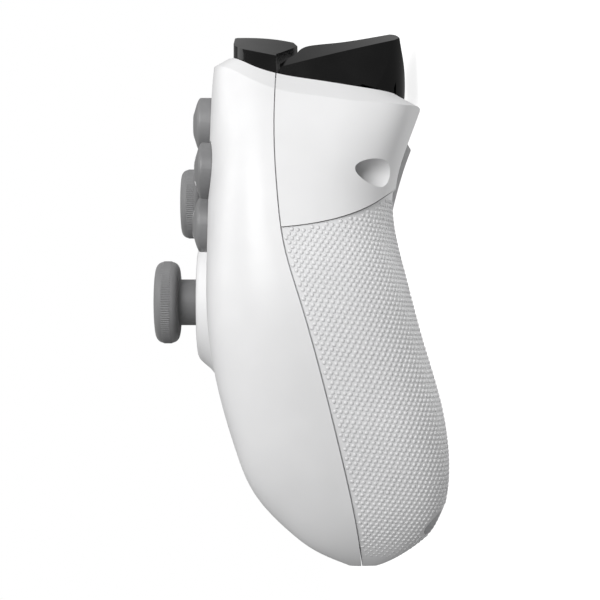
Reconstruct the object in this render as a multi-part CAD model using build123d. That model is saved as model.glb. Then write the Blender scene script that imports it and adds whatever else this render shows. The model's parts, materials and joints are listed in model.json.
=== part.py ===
from build123d import *
import math
import os
from scipy.interpolate import PchipInterpolator

# A twin-grip wireless game controller, lying on its back.
# The design frame has X to the player's right, Y towards the triggers and Z out of the face,
# with its origin behind the middle of the face. place() tips the finished parts a little about X
# and moves them, so that the grips and the trigger guards rest on Z = 0.

# ---------------------------------------------------------------- driving dimensions (mm)
WALL = 2.4                  # shell thickness
GAP = 0.3                   # gap between pieces that move past each other
PIN_GAP = 0.05              # radial gap around a pin or shaft
SEAM = 0.1                  # half of the gap along a parting line
GRIP_TIP_Y = -51.6          # lowest point of the grips
HALF_POINTS = 12            # spans in each half of a lofted section

# One row per section of the right half, from the middle to the grip's tip:
# outer guide x, y, inner guide x, y, squareness of the front half, squareness of the rear half
SECTIONS = [
    (0, 60, 0, -18.5, 7.0, 6.0),
    (14, 60, 9, -18.5, 7.0, 6.0),
    (29, 59, 17, -18.6, 6.5, 6.5),
    (44, 56, 24, -19.2, 7.0, 7.0),
    (56, 48.5, 29, -20.6, 5.6, 7.0),
    (65, 37.5, 32.4, -23.2, 3.0, 5.2),
    (71.5, 24, 35, -26, 2.6, 3.3),
    (75, 9, 37.4, -30.5, 2.5, 2.8),
    (75.8, -6, 40, -35.2, 2.4, 2.5),
    (74, -20, 42.6, -40, 2.4, 2.4),
    (71, -32, 44.9, -44.5, 2.3, 2.3),
    (67, -41, 47.7, -48, 2.2, 2.2),
    (63, -46.6, 50.7, -50.1, 2.2, 2.2),
    (59.7, -49.6, 53.2, -51.1, 2.2, 2.2),
    (57.7, -50.8, 54.9, -51.45, 2.2, 2.2),
]
# Side profile: (y, z) along the highest line of the face, of the grips' backs and of the seam
FACE_LINE = [(-51.6, -12), (-50.2, -7.5), (-47.2, -1.6), (-41.7, 4.6), (-35.9, 9.3), (-26.3, 13.0),
             (-19.1, 15.1), (-10, 17.0), (0, 18.1), (20, 18.0), (36, 17.7), (60, 17.2)]
BACK_LINE = [(-51.6, -12), (-49, -19.5), (-44.4, -25.3), (-39.9, -27.8), (-33, -28.8), (-25.3, -28.4),
             (-17.5, -26.7), (-5.8, -23.3), (5.8, -20.4), (13.6, -18.5), (20, -18.2), (30, -21),
             (37.5, -23.9), (60, -31)]
SEAM_LINE = [(-52, -12), (-41, -10.3), (-27.5, -7.3), (-12.7, -3.6), (0, 0), (11, 3.1),
             (18, 4.0), (31, 4.8), (43, 4.6), (62, 4.4)]
CENTRE_LINE = [(-20, -16.2), (8, -16.4), (22, -17.6), (31, -20.2), (37.5, -22.8), (60, -31)]
BACK_BLEND = (14, 42)       # the back runs from the middle's depth to the grips' between these x


def tip_curve(points):
    """A smooth height along Y that closes steeply at the grip's tip."""
    roots = [math.sqrt(y - GRIP_TIP_Y) for y, _ in points]
    curve = PchipInterpolator(roots, [z for _, z in points])
    return lambda y: float(curve(math.sqrt(max(y - GRIP_TIP_Y, 0))))


face_z = tip_curve(FACE_LINE)
grip_back_z = tip_curve(BACK_LINE)
seam_curve = PchipInterpolator([y for y, _ in SEAM_LINE], [z for _, z in SEAM_LINE])
centre_curve = PchipInterpolator([y for y, _ in CENTRE_LINE], [z for _, z in CENTRE_LINE])


def seam_z(y):
    return float(seam_curve(y))


def back_z(x, y):
    start, stop = BACK_BLEND
    share = min(max((abs(x) - start) / (stop - start), 0), 1)
    share = share * share * (3 - 2 * share)
    return float(centre_curve(y)) * (1 - share) + grip_back_z(y) * share


def section_wire(row, inset, side):
    """A closed superellipse-like section between the outer and the inner guide point."""
    outer_x, outer_y, inner_x, inner_y, square_front, square_back = row
    length = math.hypot(outer_x - inner_x, outer_y - inner_y)
    along = ((inner_x - outer_x) / length, (inner_y - outer_y) / length)
    half = length / 2 - min(inset * 1.15, 0.45 * length)
    middle = ((outer_x + inner_x) / 2, (outer_y + inner_y) / 2)
    edges = []
    for front in (True, False):
        square = square_front if front else square_back
        points = []
        for k in range(HALF_POINTS + 1):
            angle = math.pi * k / HALF_POINTS
            c, s = math.cos(angle), abs(math.sin(angle))
            reach = (abs(c) ** square + s ** square) ** (-1 / square)
            t = reach * c if front else -reach * c
            x = middle[0] - along[0] * half * t
            y = middle[1] - along[1] * half * t
            z = seam_z(y)
            rise = face_z(y) - z if front else back_z(x, y) - z
            depth = max(abs(rise) - inset, 0.3)
            z += math.copysign(depth, rise if abs(rise) > 0.01 else (1 if front else -1)) * reach * s
            points.append(Vector(side * x, y, z))
        edges.append(points)
    edges[1][0], edges[1][-1] = edges[0][-1], edges[0][0]
    return Wire([upright_spline(edges[0], 1), upright_spline(edges[1], -1)])


def upright_spline(points, direction):
    """A spline that leaves the first point along Z and comes back along Z at the last."""
    spans = len(points) - 1
    start = (points[1] - points[0]).length * spans * direction
    end = -(points[-1] - points[-2]).length * spans * direction
    parameters = [k / spans for k in range(spans + 1)]
    tangents = [Vector(0, 0, start), Vector(0, 0, end)]
    return Edge.make_spline(points, tangents=tangents, parameters=parameters, scale=False)


def body_loft(inset):
    """The whole outside form, shrunk by inset."""
    rows = [row for row in SECTIONS if math.dist(row[0:2], row[2:4]) > 2.6 * inset + 1]
    wires = [section_wire(row, inset, -1) for row in rows[:0:-1]]
    wires += [section_wire(row, inset, 1) for row in rows]
    return Solid.make_loft(wires)


# ---------------------------------------------------------------- mouth for bumpers and triggers
# Side profile, as (z, y), of the rim's upper edge and of the lip's lower edge
RIM_LINE = [(-36, 37.4), (-27, 38.6), (-20.7, 39.3), (-12, 40.4), (-2.5, 42.0), (4.3, 43.2), (8.8, 44.7),
            (12.6, 46.8), (15.5, 48.0), (25, 49.6)]
LIP_LINE = [(-36, 37.4), (-23.5, 37.2), (-15, 36.9), (-5, 38.0), (4, 39.5), (8.8, 41.5), (13, 44.0),
            (17.2, 46.0), (25, 48.5)]
LIP_LEAN = (1.4, 1.75)      # mm inwards per mm of height, at the sides and at the front and back
LIP_FOOT = 32               # the lip's taper is wider than the body below this height
LIP_HEAD = 51
LIP_POINTS = 22
DECK = 2.2                  # depth of the rim's edge inside the mouth
MOUTH_FRONT_Z = 13.7
MOUTH_BACK_Z = -21.6
MOUTH_HALF_X = 57.6
MOUTH_CORNER = 6

# ---------------------------------------------------------------- rear shell and grip panels
PANEL_INSET = 0.45          # the textured grips lie this much below the smooth shell
PANEL_EDGE = [(12.9, 9), (13.2, 3.6), (14.6, -5.6), (17.9, -13.8), (21.2, -18.4), (25.5, -32)]
PANEL_INNER = [(45, 34), (42, 20), (37, 5), (31, -8), (24, -19)]
PANEL_GAP = 0.06

# ---------------------------------------------------------------- screws (x, y, z of the seat's floor)
SHELL_SCREWS = [(67.1, 23.6, -7), (60, -41.9, -14)]
SCREW_HOLE_R = 2.65
SCREW_HEAD_R = 2.3
SCREW_HEAD = 1.6
SCREW_SHANK_R = 1.0
SEAT = 1.5

# ---------------------------------------------------------------- sticks: x, y, top of the raised ring
STICKS = {"right": (20, -0.5, 21.8), "left": (-43, 24.7, 21.1)}
BOSS_TOP_R = 12.4
BOSS_SLOPE = 2 / 3          # radius gained per mm of depth
BOSS_FLOOR_Y = -18
BOSS_SKIRT = [(14.6, 2.9), (16.2, 4.0), (19, 5.2)]      # radius, depth of the flared foot
STICK_PIVOT_DEPTH = 12.0    # pivot below the top of the raised ring
RING_R = 11.5
RING_HOLE_R = 10.2
RING_THICK = 1.15
CAP_R = 8.75
CAP_THICK = 5.0
CAP_TOP = 9.2               # top of the cap above the raised ring
STEM_R = 4.95
DOME_R = 11.3
DOME_THICK = 1.2
DOME_ANGLE = 60             # half angle of the dust dome
SHAFT_R = 1.5
TRAY_HALF = 7.5
STICK_TILT = 16
STICK_CLICK = 0.4

# ---------------------------------------------------------------- buttons
BUTTON_CENTRE = (43, 25.1)
BUTTON_PITCH_R = 10
BUTTON_R = 5.5
BUTTON_TOPS = {"north": 21.4, "east": 20.5, "south": 21.5, "west": 21.4}
BUTTON_TRAVEL = 1.3
FLANGE_Z = (12.1, 12.9)
FLANGE_RIM = 0.6
DPAD = (-20, 0.5)
DPAD_ARM = (22, 7.6)
DPAD_TOP_Z = 20.6
DPAD_FLANGE_Z = (11.8, 12.8)
DPAD_FLANGE_R = 9.5
DPAD_TILT = 4
DPAD_PIVOT_Z = 11.4
SMALL_TRAVEL = 0.6

# ---------------------------------------------------------------- triggers and bumpers
TRIGGER_PIN = (40, 1.5)     # y, z
TRIGGER_PIN_R = 1.5
TRIGGER_PULL = 16
TRIGGER_SWEEP_R = 22.4
BUMPER_PIN = (21.5, 44.2)   # x, y
BUMPER_PIN_R = 1.0
BUMPER_PRESS = 2

# ---------------------------------------------------------------- boards, frame, battery, motors
MAIN_BOARD_Z = (1.2, 2.8)
BUTTON_BOARD_Z = (7.0, 8.6)
MAT_Z = (8.6, 9.3)
MAT_DOME_Z = 10.4
FRAME_Z = (-1.6, 0.0)
MOTOR = (58, -20)
MOTOR_R = 6
WEIGHT_R = 8.5
JACK_Z = -4.1
JACK_BORE_R = 1.8
JACK_DEPTH = 13
USB_Z = 4.5
PADDLE_X = (22, 34)
PADDLE_PIN = (10.5, -15.2)  # y, z
PADDLE_PIN_R = 1.0
PADDLE_PRESS = 3
FAR = 90


# ================================================================ general helpers
def prism_yz(face, x0, x1):
    """A face drawn in (y, z), from x0 to x1."""
    return extrude(Plane.YZ.offset(x0) * face, x1 - x0)


def prism_xy(face, z0, z1):
    """A face drawn in (x, y), from z0 to z1."""
    return extrude(Plane.XY.offset(z0) * face, z1 - z0)


def polygon(points):
    return make_face(Polyline(*points, close=True))


def block(x0, x1, y0, y1, z0, z1):
    return Pos((x0 + x1) / 2, (y0 + y1) / 2, (z0 + z1) / 2) * Box(x1 - x0, y1 - y0, z1 - z0)


def rod_z(x, y, z0, z1, radius):
    return Pos(x, y, (z0 + z1) / 2) * Cylinder(radius, z1 - z0)


def rod_x(y, z, x0, x1, radius):
    return Pos((x0 + x1) / 2, y, z) * Rot(0, 90, 0) * Cylinder(radius, x1 - x0)


def rod_y(x, z, y0, y1, radius):
    return Pos(x, (y0 + y1) / 2, z) * Rot(90, 0, 0) * Cylinder(radius, y1 - y0)


def mirrored(shape):
    return mirror(shape, Plane.YZ)


def both(shape):
    """The right-hand shape and its mirror image."""
    return [shape, mirrored(shape)]


# ================================================================ the outside form
def above(line, shift=0):
    """Everything above a (z, y) line that runs from back to front."""
    top = 140
    points = [(y + shift, z) for z, y in line]
    rest = Polyline(points[-1], (top, points[-1][1]), (top, points[0][1]), points[0])
    return prism_yz(make_face(Spline(*points) + rest), -FAR, FAR)


def above_rim(shift):
    return above(RIM_LINE, shift)


def lip_edge(body):
    """Evenly spaced points along the right half of the lip's lower edge, from the front to the back."""
    cut = body - above(LIP_LINE)
    top = max((f for f in cut.faces() if f.center().Y > 30), key=lambda f: f.area)
    ring = top.outer_wire()
    samples = [ring.position_at(k / 1200) for k in range(1200)]
    start = min((p for p in samples if p.Z > 0), key=lambda p: abs(p.X))
    half = []
    first = samples.index(start)
    step = 1 if samples[(first + 8) % 1200].X > 0 else -1
    for k in range(1200):
        point = samples[(first + step * k) % 1200]
        if point.X < 0 and point.Z < 0:
            break
        half.append(point)
    chosen = [half[round(k * (len(half) - 1) / LIP_POINTS)] for k in range(LIP_POINTS + 1)]
    for end in (0, -1):
        chosen[end] = Vector(0, chosen[end].Y, chosen[end].Z)
    return chosen


def lip_ring(edge, height):
    """The lip's leaning wall, cut level at a height."""
    points = []
    for k, point in enumerate(edge):
        before, after = edge[max(k - 1, 0)], edge[min(k + 1, len(edge) - 1)]
        run = Vector(after.X - before.X, 0, after.Z - before.Z).normalized()
        if k in (0, len(edge) - 1):
            run = Vector(math.copysign(1, run.X), 0, 0)
        outward = Vector(-run.Z, 0, run.X)
        side, end = LIP_LEAN
        lean = side * outward.X ** 2 + end * outward.Z ** 2
        moved = point - outward * (lean * (height - point.Y))
        points.append(Vector(moved.X, height, moved.Z))
    other = [Vector(-p.X, p.Y, p.Z) for p in reversed(points)]
    parameters = [k / LIP_POINTS for k in range(LIP_POINTS + 1)]
    ahead, back = Vector(1, 0, 0), Vector(-1, 0, 0)
    return Wire([Edge.make_spline(points, tangents=[ahead, back], parameters=parameters),
                 Edge.make_spline(other, tangents=[back, ahead], parameters=parameters)])


def lipped_form():
    """The outside form, cut at the rim, with a lip that leans in."""
    body = body_loft(0)
    edge = lip_edge(body)
    taper = Solid.make_loft([lip_ring(edge, LIP_FOOT), lip_ring(edge, LIP_HEAD)], ruled=True)
    outside = block(-FAR, FAR, LIP_FOOT + 0.1, LIP_HEAD - 0.1, -FAR, FAR) - taper
    return body - outside - above_rim(0)


def stick_boss(x, y, top):
    """The raised ring around a stick, with a flared foot."""
    foot_r, foot = BOSS_SKIRT[-1]
    outline = Polyline((foot_r, -foot), (foot_r, -9), (0, -9), (0, 0), (BOSS_TOP_R - 1.2, 0))
    outline += Spline((BOSS_TOP_R - 1.2, 0), (BOSS_TOP_R, -0.45), *[(r, -depth) for r, depth in BOSS_SKIRT],
                      tangents=[(1, 0), (3, -1)])
    boss = Pos(x, y, top) * revolve(Plane.XZ * make_face(outline), Axis.Z)
    return boss & block(-FAR, FAR, BOSS_FLOOR_Y, FAR, -FAR, FAR)


def boss_hollow(x, y, top):
    high = top - WALL
    radius = BOSS_TOP_R - WALL
    cone = Pos(x, y, high - 4) * Cone(radius + 8 * BOSS_SLOPE, radius, 8)
    return cone & block(-FAR, FAR, BOSS_FLOOR_Y + WALL, FAR, -FAR, FAR)


def mouth_column(shrink, corner):
    """A rounded column along Y, as wide as the mouth less a gap all round."""
    middle_z = (MOUTH_FRONT_Z + MOUTH_BACK_Z) / 2
    width = 2 * (MOUTH_HALF_X - shrink)
    depth = MOUTH_FRONT_Z - MOUTH_BACK_Z - 2 * shrink
    face = Plane.XZ * Pos(0, middle_z) * RectangleRounded(width, depth, corner)
    return Pos(0, 80, 0) * extrude(face, 60)


def mouth():
    """The opening in the rim's deck, through which the bumpers and triggers stand out."""
    tunnel = mouth_column(0, MOUTH_CORNER) & body_loft(1.6)
    return tunnel & above_rim(-DECK - GAP)


def trigger_pocket():
    """Relief behind each trigger for its sweep."""
    y, z = TRIGGER_PIN
    drum = rod_x(y, z, 19, MOUTH_HALF_X - 0.4, TRIGGER_SWEEP_R)
    return both(drum & block(0, FAR, 0, y, -FAR, 0))


def cavity():
    """The hollow inside the shells."""
    hollow = body_loft(WALL) - above_rim(-DECK)
    for x, y, top in STICKS.values():
        hollow += boss_hollow(x, y, top)
    for x, y in button_places().values():
        hollow += rod_z(x, y, 9.5, FLANGE_Z[1] + 0.5, BUTTON_R + FLANGE_RIM + GAP + 0.1)
    return hollow + mouth() + trigger_pocket()


def seam_side(front, shift):
    """Everything in front of the parting line, or behind it."""
    far_z = FAR if front else -FAR
    seam = Spline(*[(y, z + shift) for y, z in SEAM_LINE])
    ends = Polyline((SEAM_LINE[-1][0], SEAM_LINE[-1][1] + shift), (SEAM_LINE[-1][0], far_z),
                    (SEAM_LINE[0][0], far_z), (SEAM_LINE[0][0], SEAM_LINE[0][1] + shift))
    return prism_yz(make_face(seam + ends), -FAR, FAR)


def panel_region(side, grow):
    """The part of the back that a textured grip panel covers."""
    edge = Spline(*[(y + grow, z) for y, z in PANEL_EDGE])
    first, last = PANEL_EDGE[0], PANEL_EDGE[-1]
    rest = Polyline((last[0] + grow, last[1]), (-FAR, last[1]), (-FAR, first[1]), (first[0] + grow, first[1]))
    region = prism_yz(make_face(edge + rest), 0, FAR)
    inner = Spline(*[(x - grow, y) for x, y in PANEL_INNER])
    first, last = PANEL_INNER[0], PANEL_INNER[-1]
    rest = Polyline((last[0] - grow, last[1]), (last[0] - grow, -FAR), (FAR, -FAR), (FAR, first[1]),
                    (first[0] - grow, first[1]))
    region &= prism_xy(make_face(inner + rest), -FAR, FAR)
    return region if side > 0 else mirrored(region)


# ================================================================ shells
def cross(arm, width, grow=0):
    return Rectangle(arm + 2 * grow, width + 2 * grow) + Rectangle(width + 2 * grow, arm + 2 * grow)


def button_places():
    x, y = BUTTON_CENTRE
    r = BUTTON_PITCH_R
    return {"north": (x, y + r), "east": (x + r, y), "south": (x, y - r), "west": (x - r, y)}


CENTRE_BUTTONS = {           # x, y, outline grown by an amount, top z
    "home_button": (0, 31, lambda grow: Circle(6 + grow), 18.5),
    "view_button": (-13, 22.5, lambda grow: Circle(2.9 + grow), 18.6),
    "menu_button": (13, 22.5, lambda grow: Circle(2.9 + grow), 18.6),
    "share_button": (0, 17.5, lambda grow: SlotOverall(8 + 2 * grow, 4 + 2 * grow), 18.6),
}


def face_holes():
    """Holes through the face for sticks, buttons and the direction pad."""
    holes = []
    for x, y, top in STICKS.values():
        holes.append(rod_z(x, y, 10, FAR, RING_HOLE_R + 0.4))
        holes.append(rod_z(x, y, top - RING_THICK - 0.05, FAR, RING_R + 0.1))
    for x, y in button_places().values():
        holes.append(rod_z(x, y, 10, FAR, BUTTON_R + GAP))
    for x, y, outline, _ in CENTRE_BUTTONS.values():
        holes.append(prism_xy(Pos(x, y) * outline(0.25), 10, FAR))
    holes.append(prism_xy(Pos(*DPAD) * cross(*DPAD_ARM, grow=0.8), 10, FAR))
    return holes


def jack_hole():
    return rod_y(0, JACK_Z, -30, -12, 3.25)


def screw_post(x, y, floor_z, inner_form):
    """A post on the front shell that takes a screw."""
    post = rod_z(x, y, floor_z + 0.05, 30, 3.4) & inner_form
    return post - rod_z(x, y, floor_z - 1, floor_z + 9, SCREW_SHANK_R + PIN_GAP)


def screw_well(x, y, floor_z, form):
    """A well in the rear shell with a floor for a screw's head."""
    well = rod_z(x, y, -40, floor_z, 4.3) & form
    return well - rod_z(x, y, -50, floor_z - SEAT, SCREW_HOLE_R)


def screw_through(x, y, floor_z):
    return [rod_z(x, y, -50, floor_z - SEAT, SCREW_HOLE_R), rod_z(x, y, -50, floor_z + 1, SCREW_SHANK_R + 0.2)]


def front_shell(shell):
    part = shell & seam_side(True, SEAM)
    part -= face_holes()
    part -= jack_hole()
    inner_form = body_loft(0.9)
    rear_wall = shell & seam_side(False, SEAM)
    for x, y, floor_z in SHELL_SCREWS:
        part += both(screw_post(x, y, floor_z, inner_form) - rear_wall)
    return part


def paddle_opening():
    x0, x1 = PADDLE_X
    return both(block(x0 - 0.4, x1 + 0.4, 8.6, 33.8, -FAR, -10))


def paddle_ears():
    """Ears inside the rear shell that hold the paddles' trunnions."""
    y, z = PADDLE_PIN
    ears = []
    for x0 in (PADDLE_X[0] - 2.4, PADDLE_X[1] + 0.5):
        ears += both(block(x0, x0 + 1.9, y - 2, y + 2, z - 1, z + 2))
    return ears


def rear_shell(shell, form):
    part = shell & seam_side(False, -SEAM)
    x, y, floor_z = SHELL_SCREWS[0]
    part += both(screw_well(x, y, floor_z, form))
    for side in (1, -1):
        part -= panel_region(side, PANEL_GAP)
    for cut in screw_through(x, y, floor_z):
        part -= both(cut)
    part -= paddle_opening()
    part += paddle_ears()
    part -= both(rod_x(*PADDLE_PIN, PADDLE_X[0] - 2.3, PADDLE_X[1] + 2.3, PADDLE_PIN_R + PIN_GAP))
    part -= jack_hole()
    return part


def grip_panel(side, hollow):
    form = body_loft(PANEL_INSET)
    part = (form - hollow) & seam_side(False, -SEAM) & panel_region(side, -PANEL_GAP)
    x, y, floor_z = SHELL_SCREWS[1]
    part += screw_well(side * x, y, floor_z, form)
    for cut in screw_through(side * x, y, floor_z):
        part -= cut
    return part


def shell_screws():
    """Four cross-recess screws, seen at the bottom of their wells."""
    screws = []
    for x, y, floor_z in SHELL_SCREWS:
        seat = floor_z - SEAT
        screw = rod_z(x, y, seat - SCREW_HEAD, seat, SCREW_HEAD_R)
        screw += rod_z(x, y, seat, floor_z + 7, SCREW_SHANK_R)
        screw -= prism_xy(Pos(x, y) * cross(2.6, 0.7), seat - SCREW_HEAD, seat - SCREW_HEAD + 1)
        screws += both(screw)
    return Compound(children=screws)


# ================================================================ top: bridge, bumpers, triggers
def top_bridge():
    """The middle of the rim, with the charging port's slot and lugs for the bumpers' pins."""
    top = 0.5
    x1 = 18.8
    bar = mouth_column(0.8, MOUTH_CORNER) & block(-x1, x1, 30, 60, -FAR, FAR)
    bar = bar & above_rim(top - 2.6)
    bar = bar - above_rim(top)
    bar -= Pos(0, 60, USB_Z) * Rot(90, 0, 0) * extrude(SlotOverall(9.8, 4.0), 30)
    x, y = BUMPER_PIN
    for z0, z1 in ((5.0, 6.2), (12.0, 13.2)):
        lug = block(17, x + 2.5, y - 2.4, y + 2.2, z0, z1)
        lug -= rod_z(x, y, z0 - 1, z1 + 1, BUMPER_PIN_R + 0.02)
        bar += both(lug)
    return bar


def shoulder(z0, line0, z1, line1):
    """What lies above a twisted face whose edges are the (x, y) lines at two heights z."""
    levels = []
    for z, ((xa, ya), (xb, yb)) in ((z0, line0), (z1, line1)):
        x_end = 80
        y_end = ya + (yb - ya) * (x_end - xa) / (xb - xa)
        levels.append(Pos(0, 0, z) * Wire.make_polygon([(xa, ya), (x_end, y_end), (x_end, 80), (xa, 80)]))
    return Solid.make_loft(levels, ruled=True)


def bumper():
    """The right bumper: a hollow cap that turns about a pin beside the bridge."""
    outline = Polyline((57, 42.2), (19.2, 42.2), (19.2, 49.6)) + Spline(
        (19.2, 49.6), (24, 51.6), (34, 52.5), (43, 52.7), (50, 52.2), (55, 50.4)) + Line((55, 50.4), (57, 42.2))
    profile = make_face(Polyline((42.2, 4.6), (42.2, 13.3), (51.6, 13.3)) + ThreePointArc(
        (51.6, 13.3), (52.3, 13.0), (52.6, 12.3)) + Spline(
        (52.6, 12.3), (52.6, 7.3), (51.4, 1.3)) + Polyline((51.4, 1.3), (50.3, 0.5), (47.6, 4.6), (42.2, 4.6)))
    cap = prism_xy(make_face(outline), -5, 20) & prism_yz(profile, 10, 70)
    hollow = prism_yz(polygon([(40, 6.2), (40, 11.7), (50.6, 11.7), (50.6, 6.2)]), 27, 52)
    hollow = hollow & prism_xy(make_face(Polyline((55, 40), (10, 40), (10, 50.4)) + Spline(
        (10, 50.4), (34, 50.6), (45, 50.2), (49.4, 48.4), (53.3, 44.8), (55, 40))), -5, 20)
    cap -= hollow
    x, y = BUMPER_PIN
    for z0, z1 in ((-5, 6.5), (11.7, 20)):
        cap -= block(10, x + 2.8, 30, y + 2.6, z0, z1)
    cap -= rod_z(x, y, -5, 20, BUMPER_PIN_R + PIN_GAP)
    cap -= shoulder(14, ((42, 53.2), (56, 48.8)), 0, ((42, 52.8), (56.4, 46.0)))
    return cap & mouth_column(0.7, MOUTH_CORNER - 0.4)


def bumper_pins():
    x, y = BUMPER_PIN
    return Compound(children=both(rod_z(x, y, 5.1, 13.1, BUMPER_PIN_R)))


def trigger():
    """The right trigger: a hollow, concave-topped cap with two arms on its pin."""
    pin_y, pin_z = TRIGGER_PIN
    outline = Polyline((56.6, 41), (56.6, 30), (19.5, 30), (19.5, 49.8)) + Spline(
        (19.5, 49.8), (24, 52.2), (34, 53.2), (43, 53.2), (50, 52.7), (54.6, 51.4)) + Line((54.6, 51.4), (56.6, 41))
    profile = make_face(Polyline((45.6, 3.9), (48.5, 0.5)) + Spline(
        (48.5, 0.5), (49.9, -0.9), (50.4, -3), (50.8, -8), (51.6, -13), (52.6, -17.7)) + Spline(
        (52.6, -17.7), (52.2, -18.7), (50, -19.5), (46, -20.3), (42.6, -20.6), (39, -20.4)) + Polyline(
        (39, -20.4), (41.5, -12), (38.5, -5), (37.5, -0.9), (37.5, 3.9), (45.6, 3.9)))
    cap = prism_xy(make_face(outline), -40, 20) & prism_yz(profile, 10, 70)
    inside = polygon([(30, 10), (43.2, 10), (43.2, 2.1), (45.2, 2.1), (48.0, -0.9), (48.8, -8), (49.8, -14),
                      (50.2, -17), (46, -18.6), (30, -18.6)])
    roof = make_face(Polyline((54.8, 41), (54.8, 20), (10, 20), (10, 49)) + Spline(
        (10, 49), (24, 50.2), (34, 51.2), (42, 51), (48.6, 48.6), (53, 44.8), (54.8, 41)))
    roof = prism_xy(roof, -40, 20)
    for x0, x1 in ((21.3, 27), (29, 46.4), (49.6, 60)):
        cap -= prism_yz(inside, x0, x1) & roof
    cap -= rod_x(pin_y, pin_z, 20, 48.2, TRIGGER_PIN_R + PIN_GAP)
    cap -= rod_x(pin_y, pin_z, 48.1, 60, TRIGGER_PIN_R + 0.02)
    cap -= shoulder(5, ((42, 53.0), (56.6, 44.2)), -20, ((44, 54.0), (55, 50.6)))
    return cap & mouth_column(0.9, MOUTH_CORNER + 1.5)


def trigger_pins():
    return Compound(children=both(rod_x(*TRIGGER_PIN, 26.4, 48, TRIGGER_PIN_R)))


def trigger_magnet():
    return rod_x(*TRIGGER_PIN, 48.3, 49.5, TRIGGER_PIN_R)


def trigger_sensor():
    """A sensor board beside the magnet on the trigger's axis."""
    y, z = TRIGGER_PIN
    board = block(50.6, 51.8, y - 3.4, y + 2.6, z - 3, z + 2.2)
    return board + block(50.0, 50.6, y - 1.4, y + 1.4, z - 1.4, z + 1.4)


def trigger_spring():
    """A torsion spring wound on the trigger's pin."""
    y, z = TRIGGER_PIN
    wire_r = 0.4
    turns = Helix(pitch=1.0, height=6, radius=TRIGGER_PIN_R + wire_r + 0.25)
    start = turns @ 0
    wire = sweep(Plane(origin=start, z_dir=turns % 0) * Circle(wire_r), path=turns)
    return Pos(34.2, y, z) * Rot(0, 90, 0) * wire


# ================================================================ sticks
def turned(points, x, y, z):
    """A closed (radius, height) outline, turned about an upright axis."""
    return Pos(x, y, z) * revolve(Plane.XZ * polygon(points), Axis.Z)


def stick_pivot(name):
    x, y, top = STICKS[name]
    return x, y, top - STICK_PIVOT_DEPTH


def stick_cap(name):
    """Cap, stem, dust dome and shaft in one moulding."""
    x, y, z = stick_pivot(name)
    high = STICK_PIVOT_DEPTH + CAP_TOP
    low = high - CAP_THICK
    cap = Pos(x, y, z + (high + low) / 2) * Cylinder(CAP_R, CAP_THICK)
    cap = fillet(cap.edges().filter_by(GeomType.CIRCLE), 1.7)
    cap -= Pos(x, y, z + high + 26.9) * Sphere(27.5)
    stem = rod_z(x, y, z + DOME_R - 1.1, z + low + 0.6, STEM_R)
    dome = Pos(x, y, z) * (Sphere(DOME_R) - Sphere(DOME_R - DOME_THICK))
    edge_z = DOME_R * math.cos(math.radians(DOME_ANGLE))
    dome = dome & block(x - 20, x + 20, y - 20, y + 20, z + edge_z, z + 20)
    shaft = rod_z(x, y, z - 2.6, z + DOME_R - 0.6, SHAFT_R)
    return cap + stem + dome + shaft


def stick_ring(name):
    x, y, top = STICKS[name]
    ring = rod_z(x, y, top - RING_THICK, top, RING_R)
    ring -= rod_z(x, y, top - 5, top + 5, RING_HOLE_R)
    inner = ring.edges().filter_by(GeomType.CIRCLE).sort_by(Axis.Z)[-2:]
    return chamfer(inner.sort_by(SortBy.RADIUS)[0], 0.5)


def octagon(half, cut):
    corner = half - cut
    return polygon([(half, -corner), (half, corner), (corner, half), (-corner, half),
                    (-half, corner), (-half, -corner), (-corner, -half), (corner, -half)])


def stick_housing(name):
    """The open tray in which the two yokes turn, with its sensors and click switch."""
    x, y, z = stick_pivot(name)
    floor = MAIN_BOARD_Z[1]
    top = z + 1.9
    tray = prism_xy(Pos(x, y) * octagon(TRAY_HALF, 3), floor, top)
    tray -= prism_xy(Pos(x, y) * octagon(TRAY_HALF - 1.2, 2.5), floor + 1, top + 1)
    tray += block(x + TRAY_HALF, x + TRAY_HALF + 2, y - 3.5, y + 3.5, floor, z - 2.2)
    tray += block(x - 3.5, x + 3.5, y - TRAY_HALF - 2, y - TRAY_HALF, floor, z - 2.2)
    tray += block(x - 2, x + 2, y - 2, y + 2, floor + 1, z - 3.6)
    tray -= rod_x(y, z, x - 20, x + 20, 1.1 + PIN_GAP)
    tray -= rod_y(x, z, y - 20, y + 20, 1.1 + PIN_GAP)
    return tray


def stick_frame(name):
    """The lower yoke: a frame that turns about X and carries the stick's own pivot."""
    x, y, z = stick_pivot(name)
    frame = block(x - 5.8, x + 5.8, y - 3.7, y + 3.7, z - 1.6, z + 1.6)
    frame -= block(x - 4.3, x + 4.3, y - 2.5, y + 2.5, z - 3, z + 3)
    frame += rod_x(y, z, x - 7.3, x - 5, 1.1)
    frame += rod_x(y, z, x + 5, x + 7.3, 1.1)
    return frame - rod_y(x, z, y - 5, y + 5, 0.8 + PIN_GAP)


def stick_arch(name):
    """The upper yoke: a slotted arch that turns about Y and follows the stick."""
    x, y, z = stick_pivot(name)
    outer_r, inner_r = 6.2, 5.0
    arch = Pos(x, y, z) * Rot(0, 90, 0) * (Cylinder(outer_r, 6.4) - Cylinder(inner_r, 8))
    arch = arch & block(x - 5, x + 5, y - 8, y + 8, z - 1.4, z + 8)
    arch -= block(x - SHAFT_R - 0.45, x + SHAFT_R + 0.45, y - 3.9, y + 3.9, z, z + 10)
    arch -= rod_y(x, z, y - 4.9, y + 4.9, 1.0)
    for sign in (-1, 1):
        ends = sorted((y + sign * 5.2, y + sign * 7.3))
        arch += rod_y(x, z, *ends, 1.1)
    return arch


def stick_hub(name):
    """The small cross pivot through which the shaft slides when it is pressed."""
    x, y, z = stick_pivot(name)
    hub = rod_y(x, z, y - 2.2, y + 2.2, 2.3) + rod_y(x, z, y - 3.6, y + 3.6, 0.8)
    return hub - rod_z(x, y, z - 5, z + 5, SHAFT_R + PIN_GAP)


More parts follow.
